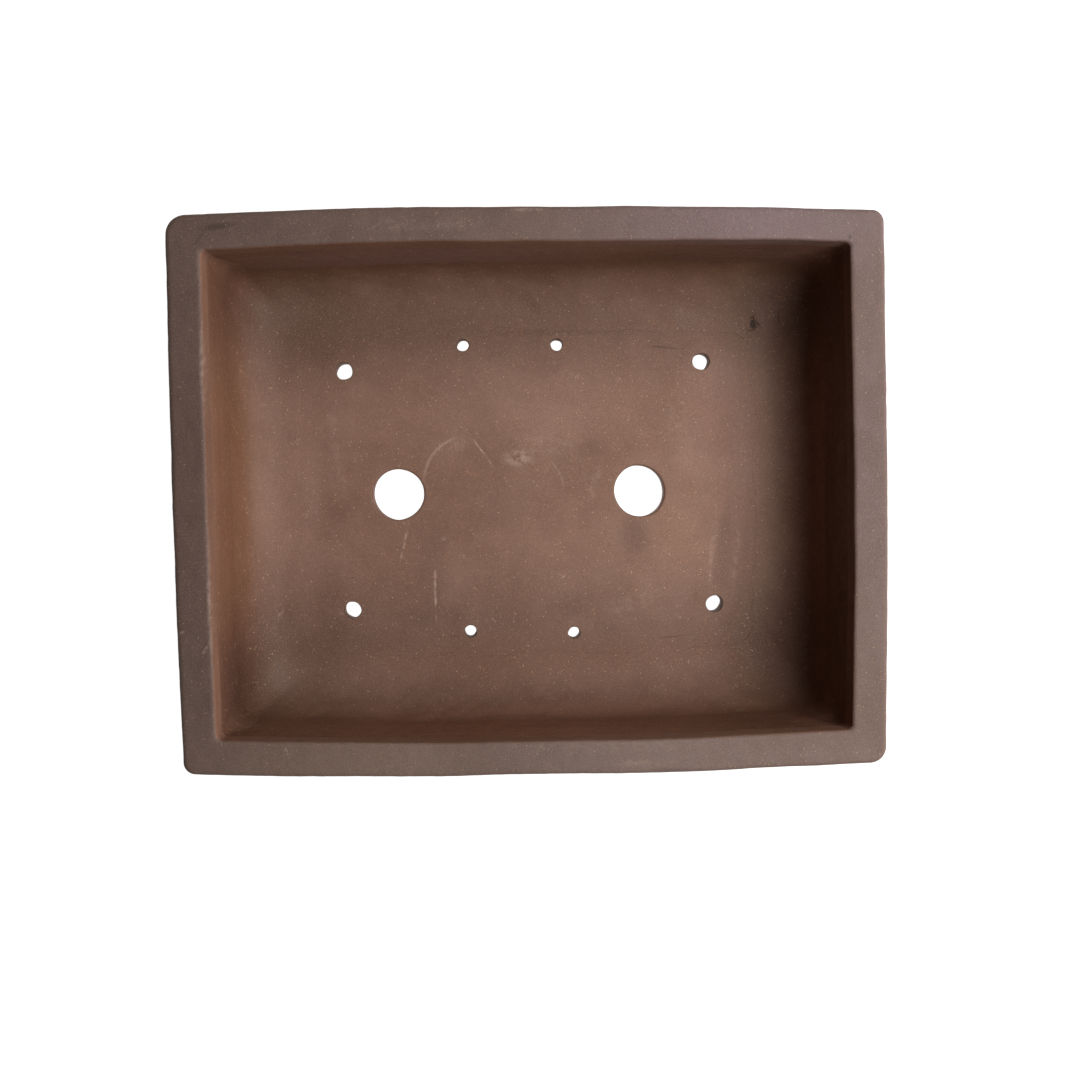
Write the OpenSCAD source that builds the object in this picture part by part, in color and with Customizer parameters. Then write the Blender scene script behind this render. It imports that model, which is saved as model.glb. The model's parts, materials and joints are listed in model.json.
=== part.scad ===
// Rectangular training pot for a bonsai, slab-built from unglazed stoneware clay.
// A floor slab with drain and tie-wire holes stands on four corner feet. Four wall
// slabs stand on its edges, an overhanging rim strip lies on each wall, and clay
// coils are pressed into the inside seams. Millimetres, +Z up, centred on X and Y.
// +X is the right-hand end and -Y is the front.

/* [Pot] */
// Length over the rim, along X
pot_length = 400; // [340:10:500]
// Width over the rim, along Y
pot_width = 318; // [240:2:380]
// Height from the table to the top of the rim
pot_height = 125; // [110:5:160]
// How far a long side swells outwards at its middle
long_side_bow = 3.5; // [0:0.5:6]
// How far a short side swells outwards at its middle
short_side_bow = 1; // [0:0.5:3]

/* [Rim] */
// Width of the rim's top face
rim_width = 19.5; // [16:0.5:26]
// Height of the rim strips
rim_height = 16; // [10:1:24]
// How far the rim stands out beyond the top of the walls
rim_overhang = 7.5; // [3:0.5:10]
// Radius of the rim's outer corners, seen from above
rim_corner_radius = 9; // [4:0.5:12]
// Rounding along the rim's edges
rim_edge_radius = 2; // [1:0.5:3]

/* [Walls and floor] */
// How much narrower each side is at the floor than under the rim
wall_lean = 3; // [0:0.5:8]
// Radius of the walls' outer corners
wall_corner_radius = 5; // [3:0.5:8]
// Radius of the inside corners where two walls or rim strips meet
inner_corner_radius = 3.5; // [1:0.5:5]
// Thickness of the floor slab
floor_thickness = 12; // [8:1:16]

/* [Seam coils] */
// How high the coil along the floor seam reaches up the wall
cove_rise = 40; // [20:1:44]
// How far the coil along the floor seam reaches in over the floor
cove_run = 34; // [14:1:36]
// How squarely the coil's hollow fills the seam: 2 is an ellipse, and more hugs the corner
cove_squareness = 2.4; // [2:0.1:3]
// Thickness left at a coil's smeared edges
coil_edge = 0.8; // [0.5:0.1:1.5]
// Radius of the hollow that a corner coil makes between two walls
corner_coil_radius = 11; // [6:1:16]
// Radius of the floor coils' inner corners, at their lower edge
floor_coil_corner_radius = 16; // [12:1:24]

/* [Drain holes] */
// Diameter of the two drain holes
drain_diameter = 32; // [20:1:40]
// Distance from the middle of the pot to the left drain hole
drain_left_offset = 82; // [60:1:90]
// Distance from the middle of the pot to the right drain hole
drain_right_offset = 70; // [60:1:90]

/* [Tie holes] */
// Diameter of the four tie holes nearest the corners
outer_tie_diameter = 10.5; // [6:0.5:12]
// Diameter of the four tie holes nearest the middle
inner_tie_diameter = 7.5; // [5:0.5:9]

/* [Feet] */
// Height of the feet
foot_height = 14; // [10:1:20]
// Length of each leg of a foot, along the wall
foot_leg = 62; // [45:1:80]
// Thickness of a foot's legs
foot_thickness = 22; // [16:1:30]
// How far the feet stand in from the walls' lower edge
foot_setback = 3; // [1:0.5:6]
// Radius of the scooped end of each leg
foot_scoop = 9; // [5:1:12]

/* [Hidden] */
$fn = 48;

// Heights
floor_top = foot_height + floor_thickness;
wall_top = pot_height - rim_height;

// Insets, measured inwards from the rim's outer edge
wall_outer_top = rim_overhang;
wall_outer_foot = rim_overhang + wall_lean;
wall_inner_top = rim_width;
wall_inner_foot = rim_width + wall_lean;

// Half the length and width of the floor's flat part, inside the coils
flat = [pot_length / 2 - short_side_bow - wall_inner_foot - cove_run,
        pot_width / 2 - long_side_bow - wall_inner_foot - cove_run];

// Centres of the tie holes: [x, y], hand-punched and so a little uneven
outer_ties = [[28.5 - flat.x, flat.y - 21], [flat.x - 32.5, flat.y - 18],
              [29.5 - flat.x, 27 - flat.y], [flat.x - 25.5, 27 - flat.y]];
inner_ties = [[-40, flat.y - 6], [19, flat.y - 6], [-38, 12 - flat.y], [27, 10 - flat.y]];

// Steps along a side: the bowed stretch, then half of the corner at each end
bow_steps = 12;
corner_steps = 3;
bow_share = 0.9;
cut = 1; // how far a cutting tool passes beyond what it cuts

// Places along a side, from -1 at one mitre to 1 at the other
stations = concat(
    [for (k = [corner_steps:-1:1]) -bow_share - (1 - bow_share) * k / corner_steps],
    [for (k = [0:bow_steps]) bow_share * (2 * k / bow_steps - 1)],
    [for (k = [1:corner_steps]) bow_share + (1 - bow_share) * k / corner_steps]
);

// A side is [half its run, half the width it closes, bow of its neighbours, own bow]
long_side = [pot_length / 2, pot_width / 2, short_side_bow, long_side_bow];
short_side = [pot_width / 2, pot_length / 2, long_side_bow, short_side_bow];

// A place on a side's plan line, inset from the rim's edge and with corners of radius r
function on_side(side, t, inset, r) =
    let (corner_x = side[0] - side[2] - inset,
         corner_y = side[1] - side[3] - inset,
         s = t / bow_share,
         turn = 45 * (abs(t) - bow_share) / (1 - bow_share))
    abs(t) <= bow_share
        ? [s * (corner_x - r), side[1] - inset - side[3] * s * s]
        : [sign(t) * (corner_x - r + r * sin(turn)), corner_y - r + r * cos(turn)];

// The whole plan outline at one inset, anticlockwise from the right end of the back
function turned(p, angle) =
    [p.x * cos(angle) - p.y * sin(angle), p.x * sin(angle) + p.y * cos(angle)];
function outline(inset, r) = [
    for (q = [0:3])
        for (t = [len(stations) - 1:-1:1])
            turned(on_side(q % 2 == 0 ? long_side : short_side,
                stations[t], inset, r), 90 * q)
];

// An arc of points about [x, z], from one angle to another
function arc(x, z, r, from, to, steps) =
    [for (k = [0:steps]) let (a = from + (to - from) * k / steps)
        [x + r * cos(a), z + r * sin(a)]];

// A strip of clay along one side, mitred at both ends. Its section is a list of
// [inset, height, corner radius], and is seen whole from its first point.
module strip(side, section) {
    m = len(section);
    n = len(stations);
    points = [for (t = stations) for (p = section)
        concat(on_side(side, t, p[0], p[2]), [p[1]])];
    sides = [for (i = [0:n - 2]) for (j = [0:m - 1])
        let (k = (j + 1) % m) [i * m + j, (i + 1) * m + j, (i + 1) * m + k, i * m + k]];
    start = [for (j = [1:m - 2]) [0, j, j + 1]];
    end = [for (j = [1:m - 2]) [0, j + 1, j] + [1, 1, 1] * (n - 1) * m];
    polyhedron(points, concat(sides, start, end));
}

// Section of a rim strip, with rounded edges
function rim_section() =
    let (r = rim_edge_radius, low = wall_top, high = pot_height, w = rim_width)
    [for (p = concat(
        [[w, low]],
        arc(w - r, high - r, r, 0, 90, 3),
        arc(r, high - r, r, 90, 180, 3),
        arc(r, low + r, r, 180, 270, 3)))
        [p[0], p[1], max(rim_corner_radius - p[0], inner_corner_radius)]];

// Section of a wall slab
function wall_section() = [
    [wall_inner_foot, floor_top, inner_corner_radius],
    [wall_inner_top, wall_top, inner_corner_radius],
    [wall_outer_top, wall_top, wall_corner_radius],
    [wall_outer_foot, floor_top, wall_corner_radius],
];

// Inset of the wall's inner face at a height
function inner_face(z) =
    wall_inner_foot - wall_lean * (z - floor_top) / (wall_top - floor_top);

// Section of the coil along a floor seam: hollow-faced, with thin smeared edges. Its
// corners grow from the corner coils' hollow at the top to a wider sweep at the floor.
function floor_coil_section() =
    let (rise = cove_rise, run = cove_run, e = coil_edge, steps = 10, foot = wall_inner_foot,
         small = corner_coil_radius, wide = floor_coil_corner_radius,
         top = floor_top + rise, power = 2 / cove_squareness)
    concat(
        [[foot, floor_top, inner_corner_radius],
         [foot + run, floor_top, wide],
         [foot + run, floor_top + e, wide]],
        [for (k = [1:steps - 1]) let (a = 90 * k / steps)
            [foot + run - (run - e) * pow(sin(a), power), top - (rise - e) * pow(cos(a), power),
             small + (wide - small) * (1 - pow(sin(a), power))]],
        [[inner_face(top) + e, top, small],
         [inner_face(top), top, inner_corner_radius]]);

// Plan of a corner coil at one height: the two walls' faces, then the hollow front
function corner_coil_plan(z) =
    let (inset = inner_face(z), r = inner_corner_radius, front = inset + coil_edge,
         last = bow_steps + corner_steps,
         x_end = long_side[0] - long_side[2] - front - corner_coil_radius,
         y_end = short_side[0] - short_side[2] - front - corner_coil_radius,
         x_all = long_side[0] - long_side[2] - inset - r,
         y_all = short_side[0] - short_side[2] - inset - r)
    concat(
        [for (k = [len(stations) - 1:-1:last]) on_side(long_side, stations[k], inset, r)],
        [on_side(long_side, bow_share * x_end / x_all, inset, r)],
        [for (k = [last:len(stations) - 1])
            on_side(long_side, stations[k], front, corner_coil_radius)],
        [for (k = [1:corner_steps])
            turned(on_side(short_side, stations[k], front, corner_coil_radius), -90)],
        [turned(on_side(short_side, -bow_share * y_end / y_all, inset, r), -90)],
        [for (k = [corner_steps:-1:1])
            turned(on_side(short_side, stations[k], inset, r), -90)]);

// A coil up the inside corner between two walls
module corner_coil() {
    low = corner_coil_plan(floor_top + cove_rise);
    high = corner_coil_plan(wall_top);
    m = len(low);
    points = concat([for (p = low) [p.x, p.y, floor_top + cove_rise]],
        [for (p = high) [p.x, p.y, wall_top]]);
    sides = [for (j = [0:m - 1]) let (k = (j + 1) % m) [j, j + m, k + m, k]];
    under = [for (j = [1:m - 2]) [0, j, j + 1]];
    over = [for (j = [1:m - 2]) [m, m + j + 1, m + j]];
    polyhedron(points, concat(sides, under, over));
}

// An L-shaped bracket foot under the back right corner, with scooped leg ends
module foot() {
    inset = wall_outer_foot + foot_setback;
    r = wall_corner_radius;
    corner = [long_side[0] - long_side[2] - inset, long_side[1] - long_side[3] - inset];
    rounded = [for (k = [0:6]) let (a = 90 * k / 6)
        [corner.x - r + r * cos(a), corner.y - r + r * sin(a)]];
    difference() {
        linear_extrude(foot_height)
            polygon(concat(
                rounded,
                [[corner.x - foot_leg, corner.y],
                 [corner.x - foot_leg, corner.y - foot_thickness],
                 [corner.x - foot_thickness, corner.y - foot_thickness],
                 [corner.x - foot_thickness, corner.y - foot_leg],
                 [corner.x, corner.y - foot_leg]]));
        translate([corner.x - foot_leg, corner.y + cut, 0])
            rotate([90, 0, 0])
                cylinder(r = foot_scoop, h = foot_thickness + 2 * cut);
        translate([corner.x - foot_thickness - cut, corner.y - foot_leg, 0])
            rotate([0, 90, 0])
                cylinder(r = foot_scoop, h = foot_thickness + 2 * cut);
    }
}

module floor_slab() {
    color("#8a6656")
        difference() {
            translate([0, 0, foot_height])
                linear_extrude(floor_thickness)
                    polygon(outline(wall_outer_foot, wall_corner_radius));
            for (x = [-drain_left_offset, drain_right_offset])
                through_hole([x, 0], drain_diameter);
            for (place = outer_ties) through_hole(place, outer_tie_diameter);
            for (place = inner_ties) through_hole(place, inner_tie_diameter);
        }
}

module through_hole(place, diameter) {
    translate([place.x, place.y, foot_height - cut])
        cylinder(d = diameter, h = floor_thickness + 2 * cut);
}

module back_wall() { color("#7a5748") strip(long_side, wall_section()); }
module front_wall() { color("#7a5748") rotate([0, 0, 180]) strip(long_side, wall_section()); }
module left_wall() { color("#7a5748") rotate([0, 0, 90]) strip(short_side, wall_section()); }
module right_wall() { color("#7a5748") rotate([0, 0, -90]) strip(short_side, wall_section()); }

module back_rim() { color("#6f5b53") strip(long_side, rim_section()); }
module front_rim() { color("#6f5b53") rotate([0, 0, 180]) strip(long_side, rim_section()); }
module left_rim() { color("#6f5b53") rotate([0, 0, 90]) strip(short_side, rim_section()); }
module right_rim() { color("#6f5b53") rotate([0, 0, -90]) strip(short_side, rim_section()); }

module back_floor_coil() { color("#83604f") strip(long_side, floor_coil_section()); }
module front_floor_coil() {
    color("#83604f") rotate([0, 0, 180]) strip(long_side, floor_coil_section());
}
module left_floor_coil() {
    color("#83604f") rotate([0, 0, 90]) strip(short_side, floor_coil_section());
}
module right_floor_coil() {
    color("#83604f") rotate([0, 0, -90]) strip(short_side, floor_coil_section());
}

module back_right_corner_coil() { color("#83604f") corner_coil(); }
module back_left_corner_coil() { color("#83604f") mirror([1, 0, 0]) corner_coil(); }
module front_right_corner_coil() { color("#83604f") mirror([0, 1, 0]) corner_coil(); }
module front_left_corner_coil() { color("#83604f") rotate([0, 0, 180]) corner_coil(); }

module back_right_foot() { color("#6b4a3d") foot(); }
module back_left_foot() { color("#6b4a3d") mirror([1, 0, 0]) foot(); }
module front_right_foot() { color("#6b4a3d") mirror([0, 1, 0]) foot(); }
module front_left_foot() { color("#6b4a3d") rotate([0, 0, 180]) foot(); }

floor_slab();
back_wall();
front_wall();
left_wall();
right_wall();
back_rim();
front_rim();
left_rim();
right_rim();
back_floor_coil();
front_floor_coil();
left_floor_coil();
right_floor_coil();
back_left_corner_coil();
back_right_corner_coil();
front_left_corner_coil();
front_right_corner_coil();
back_left_foot();
back_right_foot();
front_left_foot();
front_right_foot();
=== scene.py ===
"""The looks of a rectangular, slab-built, unglazed clay bonsai pot.

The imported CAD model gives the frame. Each of its clay pieces is replaced by a finer mesh
of the same piece, with the wander, tool marks and torn holes of hand-worked clay. The
shapes are worked out in millimetres and turned into metres when a mesh is made.
"""

import json
import math

import bmesh
import bpy
import numpy as np
from mathutils.geometry import delaunay_2d_cdt
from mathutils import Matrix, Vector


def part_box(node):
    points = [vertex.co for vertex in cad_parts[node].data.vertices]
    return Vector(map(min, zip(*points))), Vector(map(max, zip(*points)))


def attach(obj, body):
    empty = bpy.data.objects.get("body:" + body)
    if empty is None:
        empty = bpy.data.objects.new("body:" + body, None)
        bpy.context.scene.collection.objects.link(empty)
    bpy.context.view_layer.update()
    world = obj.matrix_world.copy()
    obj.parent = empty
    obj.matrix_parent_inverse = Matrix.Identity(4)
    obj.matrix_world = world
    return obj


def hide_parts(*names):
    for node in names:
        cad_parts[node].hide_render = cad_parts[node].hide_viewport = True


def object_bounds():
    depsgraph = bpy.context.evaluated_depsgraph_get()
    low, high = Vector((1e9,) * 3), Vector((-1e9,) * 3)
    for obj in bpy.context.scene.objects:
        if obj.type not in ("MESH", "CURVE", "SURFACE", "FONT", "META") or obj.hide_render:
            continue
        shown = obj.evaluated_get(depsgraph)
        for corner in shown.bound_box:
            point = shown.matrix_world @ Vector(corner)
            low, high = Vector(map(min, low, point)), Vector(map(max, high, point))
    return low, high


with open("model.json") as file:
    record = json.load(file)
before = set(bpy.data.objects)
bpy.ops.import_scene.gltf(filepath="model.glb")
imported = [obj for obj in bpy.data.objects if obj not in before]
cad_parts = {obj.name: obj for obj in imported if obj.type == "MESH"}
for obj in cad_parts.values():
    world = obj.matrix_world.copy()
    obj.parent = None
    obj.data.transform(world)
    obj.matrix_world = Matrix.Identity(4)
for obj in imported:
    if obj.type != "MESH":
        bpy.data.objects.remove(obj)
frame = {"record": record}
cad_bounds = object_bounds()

MM = 0.001

# ---------------------------------------------------------------- sizes, in millimetres

CAD_LOW, CAD_HIGH = np.array(cad_bounds, float) / MM
LENGTH, WIDTH, TOP = CAD_HIGH[0] - CAD_LOW[0], CAD_HIGH[1] - CAD_LOW[1], CAD_HIGH[2]
FLOOR_UNDER, FLOOR_TOP = (corner[2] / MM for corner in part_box("floor_slab"))
RIM_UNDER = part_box("back_rim")[0][2] / MM
COVE_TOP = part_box("back_floor_coil")[1][2] / MM

LONG_BOW, SHORT_BOW = 3.5, 1.0
RIM_WIDTH, OVERHANG, WALL_LEAN = 19.5, 7.5, 3.0
WALL_CORNER, INNER_CORNER = 5.0, 3.5
COVE_RUN, COVE_SQUARENESS = 34.0, 2.4
COIL_CORNER, COIL_TOE_CORNER = 11.0, 16.0
FOOT_SETBACK, FOOT_LEG, FOOT_THICKNESS, FOOT_SCOOP = 3.0, 62.0, 22.0, 9.0

WALL_FOOT = OVERHANG + WALL_LEAN  # inset of the walls' outer face at the floor
INNER_FOOT = RIM_WIDTH + WALL_LEAN  # inset of the walls' inner face at the floor
SKIN = 0.25  # how far the rim keeps inside its CAD size, as room for the clay's wander
BURIED = 0.5  # how deep a smeared edge runs under its neighbour's surface
FEATHERED = 0.06  # the same, where a coil is wiped out to nothing against a wall
PINCH = 26.0  # the corners between the walls tighten over this height below the rim

# A side is half its run, half the distance it closes, its neighbours' bow and its own
LONG_SIDE = (LENGTH / 2, WIDTH / 2, SHORT_BOW, LONG_BOW)
SHORT_SIDE = (WIDTH / 2, LENGTH / 2, LONG_BOW, SHORT_BOW)
# Each side's shape, and its quarter turns from the back
SIDES = {"back": (LONG_SIDE, 0), "left": (SHORT_SIDE, 1), "front": (LONG_SIDE, 2), "right": (SHORT_SIDE, 3)}
# The rim's corners are not quite alike: radii where each side starts and ends
RIM_CORNERS = {"back": (11.5, 7.0), "left": (7.0, 11.5), "front": (10.0, 7.0), "right": (7.0, 10.0)}
# The pot's corners, with the signs of X and Y there
CORNERS = (("back_right", (1, 1)), ("back_left", (-1, 1)), ("front_right", (1, -1)), ("front_left", (-1, -1)))
BOW_SHARE = 0.9  # the share of a side's stations along its bowed stretch


# ---------------------------------------------------------------- shapes in plan

def ease(x):
    """0 to 1, smoothly, as x goes from 0 to 1."""
    x = np.clip(x, 0, 1)
    return x * x * (3 - 2 * x)


def stations(side, step, corner_steps=8):
    """Places along a side, from -1 at one mitre to 1 at the other."""
    bowed = np.linspace(-BOW_SHARE, BOW_SHARE, int(2 * side[0] / step) + 1)
    corner = np.linspace(BOW_SHARE, 1, corner_steps + 1)[1:]
    return np.concatenate([-corner[::-1], bowed, corner])


def on_side(side, t, inset, radius):
    """Plan positions at places t of a side, inset from the rim's edge, and the outward directions."""
    half_run, half_reach, run_bow, reach_bow = side
    t, inset, radius = np.broadcast_arrays(t, inset, radius)
    run = half_run - run_bow - inset - radius
    s = np.clip(t / BOW_SHARE, -1, 1)
    turn = math.pi / 4 * np.clip((np.abs(t) - BOW_SHARE) / (1 - BOW_SHARE), 0, 1)
    x = s * run + np.sign(t) * radius * np.sin(turn)
    y = half_reach - inset - reach_bow * s * s - radius * (1 - np.cos(turn))
    lean = s * np.arctan2(2 * reach_bow, run) * (1 - turn / (math.pi / 4)) + np.sign(t) * turn
    return np.stack([x, y], -1), np.stack([np.sin(lean), np.cos(lean)], -1)


def turned(plan, quarters):
    """Plan positions turned anticlockwise about the pot's middle by quarter turns."""
    x, y = plan[..., 0], plan[..., 1]
    return np.stack([(x, y), (-y, x), (-x, -y), (y, -x)][quarters % 4], -1)


def at_height(plan, z):
    """A row of plan positions lifted to a height."""
    return np.concatenate([plan, np.full((len(plan), 1), z)], 1)


def inner_corner(z):
    """Radius of the corners between two walls, coil and all, at a height."""
    return INNER_CORNER + (COIL_CORNER - INNER_CORNER) * ease((RIM_UNDER - z) / PINCH)


def inner_face(z):
    """Inset of the walls' inner face at a height."""
    return INNER_FOOT - WALL_LEAN * (np.asarray(z, float) - FLOOR_TOP) / (RIM_UNDER - FLOOR_TOP)


# ---------------------------------------------------------------- the clay's unevenness

def noise(points, wavelength, seed, count=14):
    """Smooth noise about 0, with a spread of about 1, from waves in random directions."""
    rng = np.random.default_rng(seed)
    direction = rng.normal(size=(count, 3))
    direction /= np.linalg.norm(direction, axis=1)[:, None]
    stretch = 2 * math.pi / (wavelength * rng.uniform(0.75, 1.35, count))
    phase = rng.uniform(0, 2 * math.pi, count)
    return np.cos(points @ (direction * stretch[:, None]).T + phase).sum(-1) / math.sqrt(count / 2)


# (wavelength, amount) of the wander of the whole pot's surface
DRIFT = ((120, 0.22), (42, 0.08), (15, 0.025), (6, 0.012))
DRIFT_LIMIT = 0.65
SKEW = (0.5, 1.0)  # the rim is this far out of square along X and Y at its corners
# Where the back right of the rim was pushed outwards: centre, reach and push
PUSH_CENTRE, PUSH_REACH, PUSH = (150, 132, 118), (120, 24, 90), (0, 2.0, 0)
FLAT_BELOW = 10  # the drift dies away from this height down to the table


def drift(points):
    """How far the clay has wandered. It depends only on the place, so that pieces still meet."""
    out = np.zeros_like(points)
    for k, (wavelength, amount) in enumerate(DRIFT):
        for axis in range(3):
            out[..., axis] += amount * noise(points, wavelength, 10 * k + axis)
    out = DRIFT_LIMIT * np.tanh(out / DRIFT_LIMIT)
    rise = points[..., 2] / TOP
    out[..., 0] -= SKEW[0] * points[..., 1] / WIDTH * 2 * rise
    out[..., 1] -= SKEW[1] * points[..., 0] / LENGTH * 2 * rise
    near = ease(1 - np.linalg.norm((points - PUSH_CENTRE) / PUSH_REACH, axis=-1))
    out += near[..., None] * np.array(PUSH)
    return out * ease(points[..., 2:] / FLAT_BELOW)


def streaks(points, along, seed, length=70.0, pitch=3.2):
    """Fine ribs along a horizontal axis (0 or 1), left by a rib or sponge drawn along the clay."""
    squeezed = points * 1.0
    squeezed[..., along] *= pitch / length
    return 0.6 * noise(squeezed, pitch, seed) + 0.4 * noise(squeezed, 2.3 * pitch, seed + 1)


# Small pits in the inside surface: x, y, radius and depth
PITS = (
    (143.0, 103.6, 2.6, 3.5),
    (142.6, 107.4, 1.1, 1.6),
    (151.9, 93.0, 0.7, 0.5),
    (159.5, 105.0, 0.6, 0.5),
    (-158.0, -72.5, 2.4, 0.5),
)


def pitted(points):
    """Relief of the small pits."""
    out = np.zeros(points.shape[:-1])
    for x, y, radius, depth in PITS:
        uneven = radius * (1 + 0.25 * noise(points, 4.0, int(x) % 97))
        reach = np.hypot(points[..., 0] - x, (points[..., 1] - y) / 1.3) / np.maximum(uneven, 0.2)
        out -= depth * (1 - ease(reach - 0.35))
    return out


# ---------------------------------------------------------------- meshes

def make_piece(name, points, faces, material, smooth_below=38):
    """A closed mesh that stands for the CAD node of its name and rides on the pot's one body."""
    points = np.clip(points, CAD_LOW, CAD_HIGH)  # the wander never leaves the CAD box
    mesh = bpy.data.meshes.new(name)
    mesh.from_pydata((points * MM).tolist(), [], faces)
    work = bmesh.new()
    work.from_mesh(mesh)
    bmesh.ops.recalc_face_normals(work, faces=work.faces)
    work.to_mesh(mesh)
    work.free()
    mesh.shade_smooth()
    mesh.set_sharp_from_angle(angle=math.radians(smooth_below))
    mesh.materials.append(material)
    piece = bpy.data.objects.new(name, mesh)
    bpy.context.scene.collection.objects.link(piece)
    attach(piece, "root")
    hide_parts(name)
    return piece


def tube_faces(rows, columns):
    """Faces over a grid of points that closes round in its columns, and a cap on each end row."""
    i, j = np.meshgrid(np.arange(rows - 1), np.arange(columns), indexing="ij")
    k = (j + 1) % columns
    corners = (i * columns + j, (i + 1) * columns + j, (i + 1) * columns + k, i * columns + k)
    last = (rows - 1) * columns
    caps = [list(range(columns)), [last + j for j in reversed(range(columns))]]
    return np.stack(corners, -1).reshape(-1, 4).tolist() + caps


def soft_section(corners):
    """A dense closed section from corners of (inset, height, rounding, spacing along the next edge)."""
    n = len(corners)
    spot = np.array([c[:2] for c in corners], float)
    out = []
    for i, (_, _, rounding, step) in enumerate(corners):
        before = spot[i - 1] - spot[i]
        after = spot[(i + 1) % n] - spot[i]
        length = np.linalg.norm(after)
        if rounding:
            a = spot[i] + before / np.linalg.norm(before) * rounding
            b = spot[i] + after / length * rounding
            for w in np.linspace(0, 1, 7)[:-1]:
                out.append(a * (1 - w) ** 2 + spot[i] * 2 * w * (1 - w) + b * w * w)
        next_rounding = corners[(i + 1) % n][2]
        start, end = rounding / length, 1 - next_rounding / length
        count = max(1, round(length * (end - start) / step))
        for w in np.linspace(start, end, count + 1)[:-1]:
            out.append(spot[i] + after * w)
    return np.array(out)


def section_normals(section, hidden):
    """Outward directions in the (inset, height) plane. Edges for which hidden is true don't count."""
    edge = np.roll(section, -1, 0) - section
    normal = np.stack([edge[:, 1], -edge[:, 0]], -1)
    following = np.roll(section, -1, 0)
    area = np.sum(section[:, 0] * following[:, 1] - following[:, 0] * section[:, 1])
    normal *= np.sign(area) / np.maximum(np.linalg.norm(normal, axis=1), 1e-9)[:, None]
    weight = np.ones(len(section))
    if hidden:
        weight[hidden((section + following) / 2)] = 1e-4
    total = normal * weight[:, None] + np.roll(normal * weight[:, None], 1, 0)
    return total / np.maximum(np.linalg.norm(total, axis=1), 1e-9)[:, None]


def strip_points(where, section, corner, step, shift=None):
    """Positions and outward directions of a strip along a side: places along it by section points.
    corner is a radius for each section point, or two rows of them for a side whose ends differ."""
    side, quarters = SIDES[where]
    t = stations(side, step)[:, None]
    inset = np.broadcast_to(section[:, 0], (len(t), len(section)))
    if shift:
        inset = inset + shift(t * side[0])
    corner = np.where(t < 0, corner[0], corner[-1]) if np.ndim(corner) == 2 else corner[None, :]
    plan, outward = on_side(side, t, inset, corner)
    height = np.broadcast_to(section[:, 1], inset.shape)
    return (np.concatenate([turned(plan, quarters), height[..., None]], -1),
            np.concatenate([turned(outward, quarters), np.zeros(inset.shape + (1,))], -1))


def strip_piece(name, where, section, corner, relief, material, step=1.6, hidden=None, shift=None):
    """A strip of clay along one side, mitred at both ends."""
    points, outward = strip_points(where, section, corner, step, shift)
    flat = section_normals(section, hidden)
    normal = -outward * flat[None, :, :1] + np.array([0, 0, 1.0]) * flat[None, :, 1:]
    points = points + drift(points) + normal * relief(points)[..., None]
    return make_piece(name, points.reshape(-1, 3), tube_faces(*points.shape[:2]), material)


# ---------------------------------------------------------------- materials

def metres(sizes):
    """A tuple of millimetres turned into metres."""
    return tuple(size * MM for size in sizes)


def rgb(red, green, blue):
    return (red, green, blue, 1.0)


class Graph:
    """Short-hand for building a material's nodes."""

    def __init__(self, name):
        self.material = bpy.data.materials.new(name)
        self.material.use_nodes = True
        self.tree = self.material.node_tree
        self.tree.nodes.clear()

    def put(self, value, socket):
        """Links a socket to an input, or sets the input to a plain value."""
        if isinstance(value, bpy.types.NodeSocket):
            self.tree.links.new(value, socket)
        else:
            socket.default_value = value

    def add(self, kind, sockets=None, **settings):
        node = self.tree.nodes.new("ShaderNode" + kind)
        for key, value in settings.items():
            setattr(node, key, value)
        for key, value in (sockets or {}).items():
            self.put(value, node.inputs[key])
        return node

    def math(self, operation, a, b=0.0):
        return self.add("Math", {0: a, 1: b}, operation=operation).outputs[0]

    def noise(self, vector, scale, detail=3.0, roughness=0.55):
        sockets = {"Vector": vector, "Scale": scale, "Detail": detail, "Roughness": roughness}
        return self.add("TexNoise", sockets).outputs["Fac"]

    def ramp(self, value, low, high, to_low=0.0, to_high=1.0):
        sockets = {"Value": value, "From Min": low, "From Max": high, "To Min": to_low, "To Max": to_high}
        return self.add("MapRange", sockets, interpolation_type="SMOOTHSTEP").outputs["Result"]

    def mix(self, factor, a, b, blend="MIX"):
        return self.add("Mix", {0: factor, 6: a, 7: b}, data_type="RGBA", blend_type=blend).outputs[2]

    def grey(self, value):
        return self.add("CombineColor", {0: value, 1: value, 2: value}).outputs[0]

    def mapped(self, vector, kind="POINT", **sockets):
        """A vector moved, turned or scaled."""
        return self.add("Mapping", {"Vector": vector, **sockets}, vector_type=kind).outputs[0]

    def spot(self, vector, centre, size, turn=0.0, core=0.25):
        """1 in the core of an oval patch, falling to 0 at its edge. Its half sizes are in millimetres."""
        local = self.mapped(vector, "TEXTURE", Location=metres(centre), Scale=metres(size),
                            Rotation=(0, 0, math.radians(turn)))
        distance = self.add("VectorMath", {0: local}, operation="LENGTH").outputs["Value"]
        return self.ramp(distance, 1.0, core)


DUST = rgb(0.50, 0.385, 0.32)  # dry clay rubbed pale; along the left lip, partly a painted highlight
TAN, ORANGE = rgb(0.55, 0.38, 0.25), rgb(0.50, 0.20, 0.075)
# BLACK is painted shade for the inside of the small void
SOOT, BLACK = rgb(0.030, 0.018, 0.014), rgb(0.006, 0.004, 0.003)

# Ranges of the mottling noise over which one tone of a clay turns into the next
DEEP_TO_BODY, BODY_TO_PALE, GREYING = (0.36, 0.60), (0.52, 0.76), (0.35, 0.7)
FACING_UP = (0.35, 0.85)  # range of the normal's Z over which a face counts as facing up
MIDDLING = (0.35, 0.65)  # a ramp across the middle of a noise
RUBBED = (0.38, 0.62)  # where a scuff has caught the clay
GRAIN_TONES = ((0.36, 0.64), rgb(0.87, 0.87, 0.87), rgb(1.13, 1.13, 1.13))
ROUGHNESS = (0.3, 0.7, 0.58, 0.76)  # a ramp of the middle noise

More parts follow.
